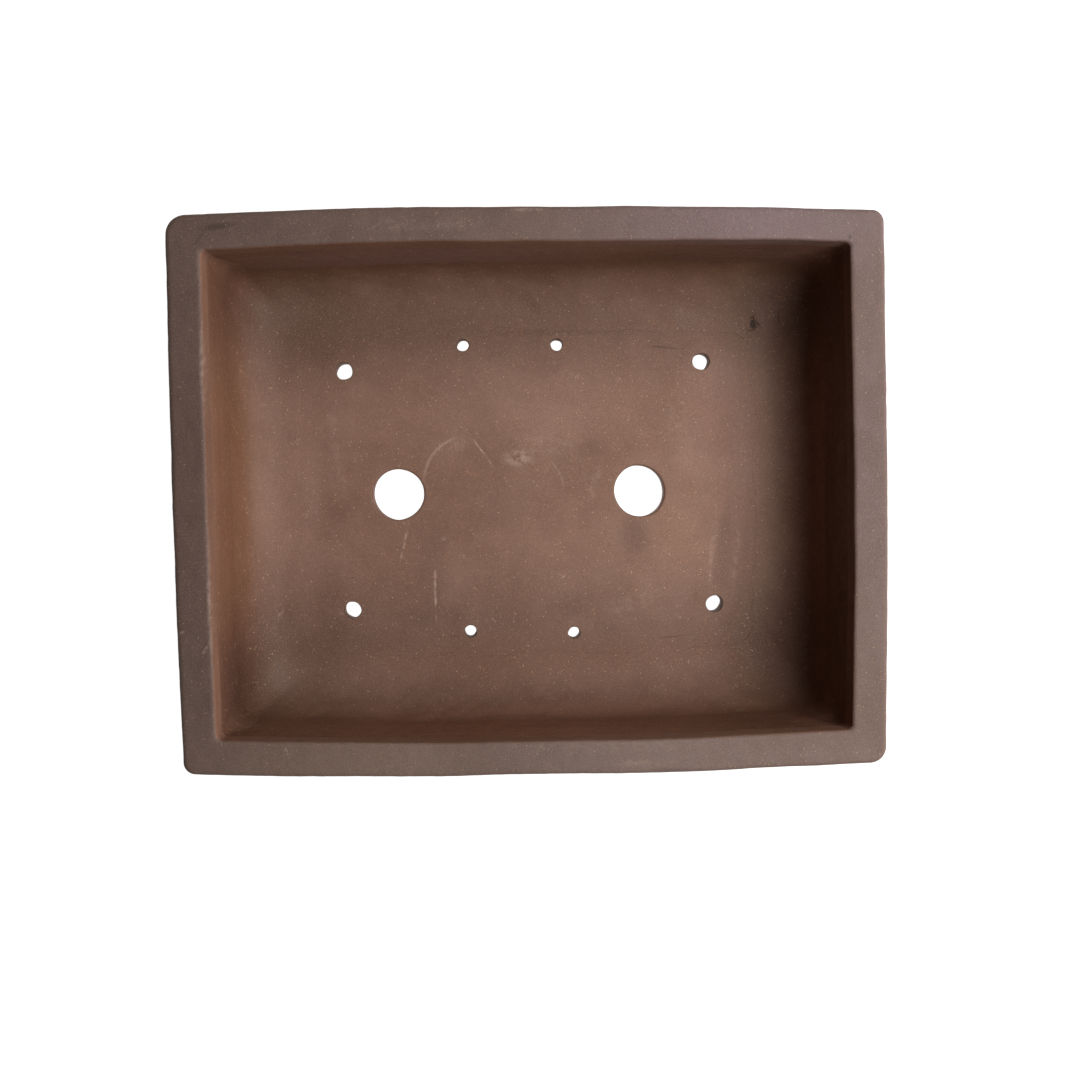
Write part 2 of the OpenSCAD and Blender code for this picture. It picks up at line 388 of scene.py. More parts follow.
# Grains in the clay: cells in a metre, share of the cells that hold one, colour and most cover
GROG = (
    (1500.0, 0.30, TAN, 0.38),
    (950.0, 0.035, TAN, 0.85),
    (1150.0, 0.050, ORANGE, 0.75),
    (1250.0, 0.10, SOOT, 0.40),
)
TUMBLE = (0.6, 0.4, 0.3)  # turns the grains' cells, so that a flat face doesn't cut them in rows

# Painted shade: how the clay darkens away from the floor's middle towards the walls, along X and Y: the
# middle, where it begins to darken and has done and by how much, then where it begins to turn paler again and
# has done and by how much
PAINTED_WALL_SHADE = ((5.0, 90.0, 140.0, 0.09, 150.0, 170.0, 0.0), (8.0, 38.0, 98.0, 0.26, 100.0, 124.0, 0.10))
# Painted shade: the coils darken and redden as they rise towards the walls: the tint, from which height and
# to which
PAINTED_COVE_SHADE = (rgb(0.88, 0.76, 0.64), 33.0, 62.0)


def clay(name, tones, sides=None, top_tones=None, rib=None, wall_shade=1.0, cove_shade=False, scuffs_and_highlights=(), arcs=(),
         stains=(), shaded_pits=(), tints_and_shading=(), speck=1.0, sheen=0.3):
    """Unglazed grogged clay of three tones: deep, body and pale.

    sides are other tones for what doesn't face up, and top_tones grey what does, partly as sponged clay
    and partly as a painted reflection of cool light from above. rib squeezes the streaks along the way that
    the clay was worked. The marks are listed in the tables below.
    """
    g = Graph(name)
    place = g.add("TexCoord").outputs["Object"]
    broad = g.noise(place, 16.0, 4.0)
    middle = g.noise(place, 70.0, 5.0, 0.6)
    fine = g.noise(place, 520.0, 3.0, 0.65)
    grain = g.noise(place, 1500.0, 2.0, 0.7)
    tone = g.math("ADD", g.math("MULTIPLY", broad, 0.62), g.math("MULTIPLY", middle, 0.38))

    def mottled(deep, body, pale):
        mixed = g.mix(g.ramp(tone, *DEEP_TO_BODY), deep, body)
        return g.mix(g.ramp(tone, *BODY_TO_PALE, 0.0, 0.7), mixed, pale)

    colour = mottled(*tones)
    if top_tones or sides:
        normal = g.add("SeparateXYZ", {0: g.add("NewGeometry").outputs["Normal"]})
        up = g.ramp(normal.outputs["Z"], *FACING_UP)
    if top_tones:
        colour = g.mix(up, colour, g.mix(g.ramp(tone, *GREYING), *top_tones))
    if sides:
        colour = g.mix(up, mottled(*sides), colour)
    height = g.math("ADD", g.math("MULTIPLY", fine, 0.55), g.math("MULTIPLY", grain, 0.35))

    if rib:
        drawn = g.noise(g.mapped(place, Scale=rib), 1.0, 4.0, 0.6)
        colour = g.mix(g.ramp(drawn, *MIDDLING, 0.0, 0.30), colour, tones[0])
        height = g.math("ADD", height, g.math("MULTIPLY", drawn, 0.5))

    # Painted shade: the clay darkens away from the floor's middle towards the walls
    if wall_shade or cove_shade:
        along = g.add("SeparateXYZ", {0: place}).outputs
    if wall_shade:
        left = 1.0
        for axis, (centre, begins, full, amount, regains, regained, regain) in zip("XY", PAINTED_WALL_SHADE):
            away = g.math("ABSOLUTE", g.math("SUBTRACT", along[axis], centre * MM))
            left = g.math("SUBTRACT", left, g.ramp(away, begins * MM, full * MM, 0.0, amount * wall_shade))
            left = g.math("ADD", left, g.ramp(away, regains * MM, regained * MM, 0.0, regain * wall_shade))
        colour = g.mix(1.0, colour, g.grey(left), "MULTIPLY")
    # Painted shade: the coils darken and redden as they rise towards the walls
    if cove_shade:
        tint, low, high = PAINTED_COVE_SHADE
        risen = g.ramp(along["Z"], low * MM, high * MM)
        colour = g.mix(risen, colour, g.mix(1.0, colour, tint, "MULTIPLY"))

    patchy = g.ramp(g.noise(place, 240.0, 3.0, 0.7), *RUBBED)
    for centre, size, turn, strength in scuffs_and_highlights:
        mask = g.math("MULTIPLY", g.math("MULTIPLY", g.spot(place, centre, size, turn), patchy), strength)
        colour = g.mix(mask, colour, DUST)
    for centre, radius, half, patch, size, strength in arcs:
        away = g.add("VectorMath", {0: place, 1: metres(centre)}, operation="DISTANCE").outputs["Value"]
        off = g.math("ABSOLUTE", g.math("SUBTRACT", away, radius * MM))
        line = g.ramp(off, half * MM, 0.3 * half * MM)
        line = g.math("MULTIPLY", line, g.spot(place, patch, size, core=0.5))
        colour = g.mix(g.math("MULTIPLY", line, strength), colour, DUST)
    for centre, size, turn, strength in stains:
        mask = g.math("MULTIPLY", g.spot(place, centre, size, turn), strength)
        colour = g.mix(mask, colour, SOOT)
    # Painted shade: the inside of the small void painted black
    for centre, size in shaded_pits:
        colour = g.mix(g.spot(place, centre, size, core=0.65), colour, BLACK)
    for centre, size, strength, tint in tints_and_shading:
        mask = g.math("MULTIPLY", g.spot(place, centre, size, core=0.0), strength)
        colour = g.mix(mask, colour, tint)

    # Grog: grains in the clay, pale, orange and burnt, each cell holding one or none
    tumbled = g.mapped(place, Rotation=TUMBLE)
    for scale, share, tint, most in GROG:
        cell = g.add("TexVoronoi", {"Vector": tumbled, "Scale": scale, "Randomness": 1.0}).outputs
        lot = g.add("SeparateColor", {0: cell["Color"]}).outputs[0]
        chosen = g.ramp(lot, 1 - share, 1 - 0.6 * share)
        dot = g.ramp(cell["Distance"], 0.40, 0.18)
        mask = g.math("MULTIPLY", g.math("MULTIPLY", chosen, dot), most * speck)
        colour = g.mix(mask, colour, tint)
        if tint == SOOT:
            height = g.math("SUBTRACT", height, g.math("MULTIPLY", mask, 0.7))
    span, darker, lighter = GRAIN_TONES
    colour = g.mix(1.0, colour, g.mix(g.ramp(grain, *span), darker, lighter), "MULTIPLY")

    bump = g.add("Bump", {"Height": height, "Strength": 0.55, "Distance": 0.00035}).outputs[0]
    shader = g.add("BsdfPrincipled", {"Base Color": colour, "IOR": 1.45, "Specular IOR Level": sheen,
                                      "Roughness": g.ramp(middle, *ROUGHNESS), "Normal": bump})
    g.add("OutputMaterial", {0: shader.outputs[0]})
    return g.material


# Tones of the clays: deep, body and pale
BROWN = (rgb(0.197, 0.109, 0.077), rgb(0.232, 0.133, 0.098), rgb(0.272, 0.163, 0.124))
WALL_BROWN = (rgb(0.182, 0.084, 0.050), rgb(0.205, 0.098, 0.060), rgb(0.228, 0.112, 0.071))
RIM_BROWN = (rgb(0.177, 0.087, 0.056), rgb(0.196, 0.100, 0.066), rgb(0.215, 0.113, 0.075))
# the rim's faces that look up: greyer, partly sponged clay and partly a painted reflection of cool light from
# above
RIM_TOPS = (rgb(0.112, 0.072, 0.060), rgb(0.136, 0.090, 0.077))
LEFT_LOW_SHADE = rgb(0.168, 0.068, 0.033)  # painted shade: a darker red low on the left side
PAINTED_CORNER_SHADE = rgb(0.120, 0.050, 0.034)  # painted shade: a darker red in the back left inner corner
BURNT = rgb(0.064, 0.027, 0.019)
GREYED = rgb(0.205, 0.135, 0.115)

# Scuffs and stains, in millimetres: centre, half sizes, turn in degrees, and strength
FLOOR_SCUFFS = (
    # the scratch that meets the arc, and the dusty patch at its end
    ((-28.4, 25.8, 26), (0.6, 15.5, 9), 35, 0.72),
    ((-6, 22, 26), (15, 7.5, 9), 4, 0.40),
    ((12, 30, 26), (30, 12, 9), 0, 0.10),
    ((-44, 30, 26), (8, 10, 9), -40, 0.14),
    ((-54.5, -28, 26), (2.2, 1.5, 9), 0, 0.55),
    # lines in front of it
    ((-79.2, -31, 26), (1.0, 18, 9), -14, 0.50),
    ((-60, -60, 26), (1.2, 26, 9), 0, 0.55),
    ((23, -52, 26), (0.9, 5.5, 9), -55, 0.65),
    # worn places and long faint wipes
    ((-145, 20, 27), (2.0, 52, 9), -1, 0.16),
    ((-120, 30, 26), (5, 40, 9), 8, 0.08),
    ((116, -36, 26), (2.5, 36, 9), -6, 0.15),
    ((131, -42, 26), (2.5, 36, 9), -6, 0.14),
    ((66, -70, 26), (26, 8, 9), 20, 0.10),
    ((96, 40, 26), (12, 40, 9), 6, 0.07),
    ((42, 6, 26), (5, 18, 9), -16, 0.14),
)
FLOOR_STAINS = (
    ((30, -70, 26), (22, 12, 9), 10, 0.14),
    ((66, -28, 26), (14, 17, 9), 0, 0.24),
    ((-20, -10, 26), (30, 20, 9), 30, 0.10),
    ((40, 28, 26), (14, 8, 9), 0, 0.10),
    ((86, 90, 26), (16, 0.8, 9), -6, 0.45),
    ((20, 100, 26), (60, 3, 9), 0, 0.14),
    ((-58, -76, 26), (40, 10, 9), 0, 0.08),
    ((88, -93, 26), (14, 0.7, 9), 4, 0.40),
    ((-150, -70, 27), (2.2, 3.0, 9), 0, 0.30),
    ((123, -38, 26), (7, 44, 9), -6, 0.16),
    ((-62, -40, 26), (16, 40, 9), 4, 0.12),
)
# Dark hairlines in the right corners, which cross from the slab to the coils
HAIRLINES = (
    ((158.5, 107, 31), (0.5, 7, 9), 4, 0.9),
    ((151, -113, 33), (7, 0.6, 9), 6, 0.8),
)
COIL_SCUFFS = (
    ((-158, -72, 30), (4, 7, 9), 0, 0.30),
    ((126, -133, 58), (9, 5, 6), 0, 0.25),
    ((-90, 137, 64), (34, 3, 2.0), 0, 0.35),
)
RIM_SCUFFS_AND_HIGHLIGHTS = (
    ((60, -153, 125), (26, 3.0, 9), 0, 0.16),
    ((114, 151.5, 125), (0.7, 4.5, 9), 0, 0.8),
    ((0, 156.5, 125), (14, 1.6, 9), 0, 0.3),
    ((-197, -74, 125), (3.0, 1.2, 9), 20, 0.45),
    ((-184, -84, 125), (3.4, 1.2, 9), 60, 0.5),
    ((-140, -143, 125), (0.8, 4.5, 9), 18, 0.75),
    # rubbed pale along the left lip: partly wear, partly a painted highlight where it faces the light
    ((-181, 70, 121), (2.2, 34, 9), 0, 0.26),
    ((-181, -60, 121), (1.8, 60, 9), 0, 0.22),
    # broad pale wipes along the back and front of the rim
    ((-60, 149, 125), (55, 6, 9), 0, 0.08),
    ((40, -143, 125), (90, 5, 9), 0, 0.06),
)
RIM_STAINS = (
    ((-180, 143, 125), (1.4, 8, 9), -38, 0.25),
    ((-170, 149, 125), (14, 2.6, 9), 8, 0.45),
    ((178.5, 139.5, 123), (1.6, 1.8, 9), 0, 0.95),
    ((75, -157, 125), (14, 2.0, 9), 0, 0.25),
    ((-98, -158, 125), (8, 1.6, 9), 0, 0.3),
)
# Scratches round a centre: centre, radius, half width, then the patch that shows it, its half sizes
# and strength. The first lies beside the left drain hole, and a fainter one to the right.
FLOOR_ARCS = (
    ((-36.3, 7.2, 26), 29.6, 1.3, (-56, 24, 26), (16, 28, 9), 0.24),
    ((-2, 2, 26), 24.0, 1.0, (19, 12, 26), (8, 14, 9), 0.12),
)
# Painted shade: the inside of the small void painted black: centre and half sizes
VOID_PAINTED_SHADE = (
    ((143.0, 103.4, 28), (2.6, 2.9, 9)),
    ((142.5, 106.6, 28), (1.3, 2.5, 9)),
)
# Broad patches of another tone, among them painted shade and painted light: centre, half sizes, strength and
# colour
FLOOR_TINTS_AND_SHADING = (
    # painted shade in the four corners of the floor
    ((142, -102, 28), (62, 46, 40), 0.62, rgb(0.115, 0.056, 0.040)),
    ((-146, 106, 28), (52, 40, 40), 0.35, rgb(0.120, 0.066, 0.046)),
    ((148, 106, 28), (46, 36, 40), 0.14, rgb(0.130, 0.070, 0.060)),
    ((-150, -108, 28), (44, 34, 40), 0.10, rgb(0.120, 0.066, 0.046)),
    # greyer patches where the coils round the left corners
    ((-146, 114, 33), (26, 18, 20), 0.22, GREYED),
    ((-155, -112, 31), (20, 22, 14), 0.40, GREYED),
    # painted shade in the back left corner
    ((-172, 126, 60), (20, 26, 44), 0.50, PAINTED_CORNER_SHADE),
    # painted shade along the foot of the front wall
    ((0, -106, 28), (180, 24, 14), 0.36, rgb(0.185, 0.092, 0.056)),
    # painted light: the middle of the front coil made paler
    ((0, -131, 52), (175, 14, 18), 0.50, rgb(0.270, 0.140, 0.095)),
    # painted shade: darker and redder low on the left side
    ((-175, 0, 50), (12, 150, 24), 0.60, LEFT_LOW_SHADE),
    # paler and greyer patches on the floor
    ((-140, 0, 27), (16, 120, 12), 0.35, rgb(0.300, 0.185, 0.145)),
    ((142, 30, 27), (28, 100, 14), 0.35, rgb(0.290, 0.170, 0.138)),
    ((0, 50, 26), (100, 30, 9), 0.22, rgb(0.275, 0.170, 0.135)),
    ((90, -22, 26), (26, 34, 9), 0.30, rgb(0.290, 0.165, 0.110)),
    ((120, 60, 26), (40, 60, 20), 0.25, rgb(0.225, 0.132, 0.112)),
    # a dark patch low in the front left corner
    ((-182, -116, 68), (34, 56, 76), 0.85, BURNT),
)
WALL_TINTS_AND_SHADING = (
    # painted shade in the back left corner
    ((-172, 126, 60), (20, 26, 44), 0.50, PAINTED_CORNER_SHADE),
    # painted shade on the right wall and on the right ends of the back and front walls
    ((178, 0, 80), (15, 175, 80), 0.75, rgb(0.085, 0.036, 0.026)),
    ((150, -137, 80), (75, 18, 60), 0.65, rgb(0.100, 0.040, 0.026)),
    ((130, 137, 80), (110, 18, 60), 0.45, rgb(0.112, 0.052, 0.042)),
    # a paler pink patch along the back wall
    ((-60, 137, 80), (170, 18, 60), 0.55, rgb(0.215, 0.124, 0.114)),
    # painted shade low on the left wall
    ((-175, 0, 50), (12, 150, 24), 0.60, LEFT_LOW_SHADE),
    # a paler band along the top of the left wall: partly paler clay, partly painted light from the lamps on
    # the right
    ((-181, 0, 108), (6, 150, 18), 0.40, rgb(0.205, 0.120, 0.092)),
    # painted shade on the left wall and along the front wall
    ((-178, -20, 75), (14, 160, 60), 0.40, rgb(0.155, 0.062, 0.032)),
    ((-20, -137, 80), (180, 18, 60), 0.40, rgb(0.180, 0.074, 0.036)),
    # a dark patch low in the front left corner
    ((-182, -116, 68), (34, 56, 76), 0.85, BURNT),
)
RIM_TINTS_AND_SHADING = (
    # painted shade on the inner faces of the front and back rims
    ((0, -139, 115), (220, 4, 14), 0.70, rgb(0.140, 0.058, 0.032)),
    ((60, 139, 114), (150, 5, 12), 0.35, rgb(0.140, 0.062, 0.040)),
    # painted reflection: the back right of the rim greyer and bluer
    ((130, 152, 125), (150, 60, 40), 0.60, rgb(0.158, 0.112, 0.122)),
    # a paler patch along the front of the rim
    ((60, -152, 125), (170, 30, 40), 0.40, rgb(0.168, 0.124, 0.108)),
    # painted shade: the left of the rim darker and browner
    ((-192, 20, 125), (40, 170, 40), 0.40, rgb(0.112, 0.064, 0.052)),
    # painted reflection: the right of the rim greyer and bluer
    ((190, 20, 125), (26, 150, 40), 0.50, rgb(0.122, 0.082, 0.080)),
    # a paler patch at the front left of the rim
    ((-110, -150, 125), (120, 34, 40), 0.60, rgb(0.180, 0.122, 0.095)),
)

floor_clay = clay("floor_clay", BROWN, sides=WALL_BROWN, rib=(12.0, 75.0, 100.0), scuffs_and_highlights=FLOOR_SCUFFS,
                  arcs=FLOOR_ARCS, stains=FLOOR_STAINS + HAIRLINES, shaded_pits=VOID_PAINTED_SHADE, tints_and_shading=FLOOR_TINTS_AND_SHADING)
coil_clay = clay("coil_clay", BROWN, cove_shade=True, scuffs_and_highlights=COIL_SCUFFS, stains=HAIRLINES, shaded_pits=VOID_PAINTED_SHADE,
                 tints_and_shading=FLOOR_TINTS_AND_SHADING)
long_wall_clay = clay("long_wall_clay", WALL_BROWN, rib=(14.0, 30.0, 330.0), tints_and_shading=WALL_TINTS_AND_SHADING)
short_wall_clay = clay("short_wall_clay", WALL_BROWN, rib=(30.0, 14.0, 330.0), tints_and_shading=WALL_TINTS_AND_SHADING)
rim_clay = clay("rim_clay", RIM_BROWN, top_tones=RIM_TOPS, wall_shade=0.0, scuffs_and_highlights=RIM_SCUFFS_AND_HIGHLIGHTS, stains=RIM_STAINS,
                tints_and_shading=RIM_TINTS_AND_SHADING, speck=0.5, sheen=0.35)
foot_clay = clay("foot_clay", WALL_BROWN, wall_shade=0.5)


# ---------------------------------------------------------------- rim and walls

def rim_relief(points):
    """Sponged clay: low undulations."""
    return 0.04 * noise(points, 12.0, 301) + 0.015 * noise(points, 4.0, 302)


def wall_relief(along):
    """Rib and sponge strokes along the wall."""
    def relief(points):
        fade = ease((RIM_UNDER - points[..., 2]) / 4) * ease((points[..., 2] - COVE_TOP) / 12)
        return fade * (0.10 * streaks(points, along, 311 + along) + 0.05 * noise(points, 8.0, 313))
    return relief


def under_rim(places):
    """Whether places of the rim's section lie on the wall's top."""
    return (places[:, 1] < RIM_UNDER + 0.01) & (places[:, 0] > OVERHANG)


def wall_ends(places):
    """Whether places of the walls' section lie on its joints with the floor and the rim."""
    return (places[:, 1] < FLOOR_TOP + 0.01) | (places[:, 1] > RIM_UNDER - 0.01)


rim_top = TOP - SKIN
rim_section = soft_section([
    (RIM_WIDTH, RIM_UNDER, 0, 1.4),
    (RIM_WIDTH, rim_top, 2.2, 1.2),
    (SKIN, rim_top, 2.8, 1.4),
    (SKIN, RIM_UNDER, 2.4, 1.4),
    (OVERHANG, RIM_UNDER, 0, 6.0),
])
wall_section = soft_section([
    (INNER_FOOT, FLOOR_TOP, 0, 1.6),
    (RIM_WIDTH, RIM_UNDER, 0, 6.0),
    (OVERHANG, RIM_UNDER, 0, 1.6),
    (WALL_FOOT, FLOOR_TOP, 0, 6.0),
])
is_inner = wall_section[:, 0] > (INNER_FOOT + OVERHANG) / 2
wall_corners = np.where(is_inner, inner_corner(wall_section[:, 1]), WALL_CORNER)

for where, (_, quarters) in SIDES.items():
    along = quarters % 2
    rim_corners = np.maximum(np.array(RIM_CORNERS[where])[:, None] - rim_section[:, 0], INNER_CORNER)
    strip_piece(where + "_rim", where, rim_section, rim_corners, rim_relief, rim_clay,
                hidden=under_rim)
    strip_piece(where + "_wall", where, wall_section, wall_corners, wall_relief(along),
                (long_wall_clay, short_wall_clay)[along], hidden=wall_ends)


# ---------------------------------------------------------------- coils in the inside seams

def coil_relief(points):
    """Finger dabs along the smeared clay, that die away at its toe."""
    risen = ease((points[..., 2] - FLOOR_TOP) / 2.5) * ease((COVE_TOP - 2 - points[..., 2]) / 12)
    return risen * (0.20 * noise(points, 26.0, 331) + 0.06 * noise(points, 9.0, 332)) + pitted(points)


def coil_section():
    """From the toe on the floor up the hollow front to the wall, then back down inside the wall.
    Beside each point goes how far out on the floor it is, from 1 at the toe to 0 at the wall."""
    turn = np.radians(np.linspace(0, 90, 46))
    power = 2 / COVE_SQUARENESS
    lift = 0.16 * (1 - ease(turn / 0.5))
    height = FLOOR_TOP + lift + (COVE_TOP - FLOOR_TOP) * (1 - np.cos(turn) ** power)
    # the front runs up along the wall's leaning face and slips under it at the top
    inset = inner_face(height) + COVE_RUN * (1 - np.sin(turn) ** power)
    inset = inset - FEATHERED * ease((height - COVE_TOP + 6) / 6)
    front = np.stack([inset, height], -1)
    toe = [[INNER_FOOT + COVE_RUN + 0.5, FLOOR_TOP - BURIED]]
    back = [[inner_face(COVE_TOP) - 2 * BURIED, COVE_TOP], [INNER_FOOT - 2 * BURIED, FLOOR_TOP - BURIED]]
    reach = np.concatenate([[1], 1 - np.sin(turn) ** power, [0, 0]])
    return np.concatenate([toe, front, back]), reach


floor_coil_section, coil_reach = coil_section()
floor_coil_corners = COIL_CORNER + (COIL_TOE_CORNER - COIL_CORNER) * coil_reach
floor_coil_corners[-2:] = INNER_CORNER


def uneven_toe(seed):
    """The toe wanders in and out over the floor, as the clay was smeared by hand."""
    def shift(run):
        wander = noise(np.stack([run, 0 * run, 0 * run], -1), 45.0, seed)
        return coil_reach[None, :] * 1.3 * wander * ease((150 - abs(run)) / 20)
    return shift


for number, where in enumerate(SIDES):
    strip_piece(where + "_floor_coil", where, floor_coil_section, floor_coil_corners, coil_relief, coil_clay,
                step=1.3, shift=uneven_toe(340 + number))


def corner_coil(name, signs):
    """A coil up the inside corner between two walls, pinched out under the rim."""
    heights = np.arange(COVE_TOP - 6, RIM_UNDER + 0.1, 1.4)
    heights[-1] = RIM_UNDER
    pinch = ease((RIM_UNDER - heights) / PINCH)[:, None]
    radius = inner_corner(heights)[:, None]
    face = inner_face(heights)[:, None]
    across = np.linspace(0, 1, 13)[None, :]
    start = BOW_SHARE - 0.035
    inset = face + (-BURIED + (BURIED + 0.45) * ease(across * 2.2) * pinch)

    def on_long(t, inset, radius):
        return on_side(LONG_SIDE, t, inset, radius)[0]

    def on_short(t, inset, radius):
        return turned(on_side(SHORT_SIDE, t, inset, radius)[0] * [-1, 1], -1)

    front = start + (1 - start) * across
    plan = np.concatenate([
        on_long(front, inset, radius),
        on_short(front, inset, radius)[:, ::-1][:, 1:],
        on_short(np.array([[start]]), face - 2, INNER_CORNER),
        on_long(np.array([[1.0, start]]), face - 2, INNER_CORNER),
    ], 1) * signs
    points = np.concatenate([plan, np.broadcast_to(heights[:, None, None], plan.shape[:2] + (1,))], -1)
    points = points + drift(points)
    return make_piece(name, points.reshape(-1, 3), tube_faces(*points.shape[:2]), coil_clay)


for corner_name, signs in CORNERS:
    corner_coil(corner_name + "_corner_coil", signs)


# ---------------------------------------------------------------- floor slab

# Hand-cut holes by kind: points round the edge, its waves as (how many, share of the radius), how far
# the lip is rounded, how high the burr stands and how rough the hole's wall is, as a share of the radius
DRAIN_HOLE = dict(count=110, waves=((2, 0.010), (3, 0.007), (5, 0.003)), lip=1.3, burr=0.0, rough=0.002)
TIE_HOLE = dict(count=44, waves=((2, 0.020), (3, 0.022), (5, 0.015)), lip=0.6, burr=0.5, rough=0.006)
LARGEST_TIE = 10  # a hole of a larger radius is for drainage
HOLE_RINGS = (0, 0.3, 0.7, 1.3, 2.1, 3.2, 4.6)  # gaps from a hole's edge to the rings of points round it
BURR_SIDE = math.radians(130)  # where the punch tore the clay up

FINE_HALF = (150, 112)  # half sizes of the finely meshed middle of the slab
TOP_STEP, UNDER_STEP, COARSE_STEP = 1.25, 3.0, 7.0  # spacings of the mesh
SEEN_HALF = (170, 130)  # half sizes of the part of the slab's top that shows, with its relief
ROUND_FOOT = 1.6  # rounding of the slab's lower edge
# Half sizes of the floor that the coils leave open
OPEN_X = LENGTH / 2 - SHORT_BOW - INNER_FOOT - COVE_RUN
OPEN_Y = WIDTH / 2 - LONG_BOW - INNER_FOOT - COVE_RUN
# Shallow scratches in the floor: x, y, half sizes, turn in degrees, and depth
SCRATCHES = (
    (-29, 28, 0.9, 13, 38, 0.30),
    (-60, -62, 1.0, 13, 0, 0.25),
    (-77, -26, 1.0, 16, -14, 0.22),
    (-62, 20, 1.0, 11, -20, 0.22),
    (120, -30, 2.2, 34, -14, 0.22),
    (134, -42, 2.0, 36, -8, 0.22),
)


def hole_shape(mount, seed):
    """A hand-cut hole: its kind, centre, and its edge's radius at each angle, at the top and the bottom."""
    radius = mount["dims"]["r_mm"]
    kind = DRAIN_HOLE if radius > LARGEST_TIE else TIE_HOLE
    rng = np.random.default_rng(seed)
    angle = np.linspace(0, 2 * math.pi, kind["count"], endpoint=False)

    def edge(unevenness):
        out = np.full(kind["count"], radius)
        for k, amount in kind["waves"]:
            phase, swing = rng.uniform(0, 2 * math.pi), rng.uniform(0.6, 1.3)
            out = out + radius * unevenness * amount * np.cos(k * angle + phase) * swing
        return out

    centre = np.array([c / MM for c in mount["pos_m"][:2]])
    return dict(kind, centre=centre, angle=angle, top=edge(1.0), bottom=edge(1.2), radius=radius)


def ring(hole, radius):
    """A ring of plan positions round a hole."""
    return hole["centre"] + radius[:, None] * np.stack([np.cos(hole["angle"]), np.sin(hole["angle"])], -1)


def edge_radius(hole, edge, away):
    """Radius of a hole's edge in the direction of places away from its centre."""
    angle = np.arctan2(away[:, 1], away[:, 0]) % (2 * math.pi)
    return np.interp(angle, np.append(hole["angle"], 2 * math.pi), np.append(hole[edge], hole[edge][0]))


def lattice(step, half_x, half_y):
    """A square grid of plan positions about the middle."""
    x, y = np.meshgrid(np.arange(-half_x, half_x + 0.1, step), np.arange(-half_y, half_y + 0.1, step))
    return np.stack([x.ravel(), y.ravel()], -1)


def slab_face(outline, holes, edge, fine_step):
    """A flat face of the slab as triangles, pierced by the holes, and its loops: the outline and the
    holes. It has rings round each hole, a fine grid in the middle and a coarse one beyond."""
    rings = [[ring(h, h[edge] + gap) for gap in HOLE_RINGS] for h in holes]
    fine = lattice(fine_step, *FINE_HALF)
    for h in holes:
        fine = fine[np.hypot(*(fine - h["centre"]).T) > h["radius"] * 1.06 + 5.6]
    coarse = lattice(COARSE_STEP, LENGTH / 2, WIDTH / 2)
    beyond = (np.abs(coarse) > np.array(FINE_HALF) + COARSE_STEP / 2).any(1)
    within = (np.abs(coarse) < np.abs(outline).max(0) - COARSE_STEP).all(1)
    coarse = coarse[beyond & within]

    loops = [outline] + [group[0] for group in rings]
    starts = np.cumsum([0] + [len(loop) for loop in loops])
    points = np.concatenate(loops + [r for group in rings for r in group[1:]] + [fine, coarse])
    edges = [(a + k, a + (k + 1) % (b - a)) for a, b in zip(starts, starts[1:]) for k in range(b - a)]
    found, _, triangles, origin, _, _ = delaunay_2d_cdt([tuple(p) for p in points], edges, [], 0, 1e-5)
    place = np.array([tuple(p) for p in found])
    triangles = np.array([list(t) for t in triangles])
    new_index = {old: new for new, olds in enumerate(origin) for old in olds}

    middle = place[triangles].mean(1)
    keep = np.ones(len(triangles), bool)
    for h in holes:
        away = middle - h["centre"]
        chord = math.cos(math.pi / len(h["angle"]) / 2)  # the edge's sides lie a little inside its corners
        keep &= np.hypot(*away.T) > edge_radius(h, edge, away) * chord
    return place, triangles[keep], [[new_index[i] for i in range(a, b)] for a, b in zip(starts, starts[1:])]


def lip_drop(place, holes, edge):
    """How far the face rounds down into each hole."""
    drop = np.zeros(len(place))
    for h in holes:
        away = place - h["centre"]
        near = np.hypot(*away.T) < h["radius"] + 8
        away = away[near]
        gap = np.clip((np.hypot(*away.T) - edge_radius(h, edge, away)) / h["lip"], 0, 1)
        drop[near] += h["lip"] * (1 - np.sqrt(1 - (1 - gap) ** 2))
        if edge == "top" and h["burr"]:
            torn = np.clip(np.cos(np.arctan2(away[:, 1], away[:, 0]) - BURR_SIDE), 0, 1) ** 2
            drop[near] -= h["burr"] * torn * np.exp(-((gap * h["lip"] - 1.0) / 0.8) ** 2)
    return drop


def floor_relief(points):
    """Top of the floor: pressed and wiped clay that settles flat at the coils, scratches and pits."""
    x, y = points[..., 0], points[..., 1]
    relief = (0.28 * noise(points, 55.0, 351) + 0.10 * noise(points, 17.0, 352)
              + 0.035 * noise(points, 5.0, 353))
    relief = relief * ease((np.minimum(OPEN_X - np.abs(x), OPEN_Y - np.abs(y)) - 1) / 12)
    for cx, cy, half_x, half_y, turn, depth in SCRATCHES:
        a = math.radians(turn)
        u = ((x - cx) * math.cos(a) + (y - cy) * math.sin(a)) / half_x
        v = (-(x - cx) * math.sin(a) + (y - cy) * math.cos(a)) / half_y
        relief = relief - depth * np.exp(-u * u) * ease(1.15 - np.abs(v))
    return relief + pitted(points)


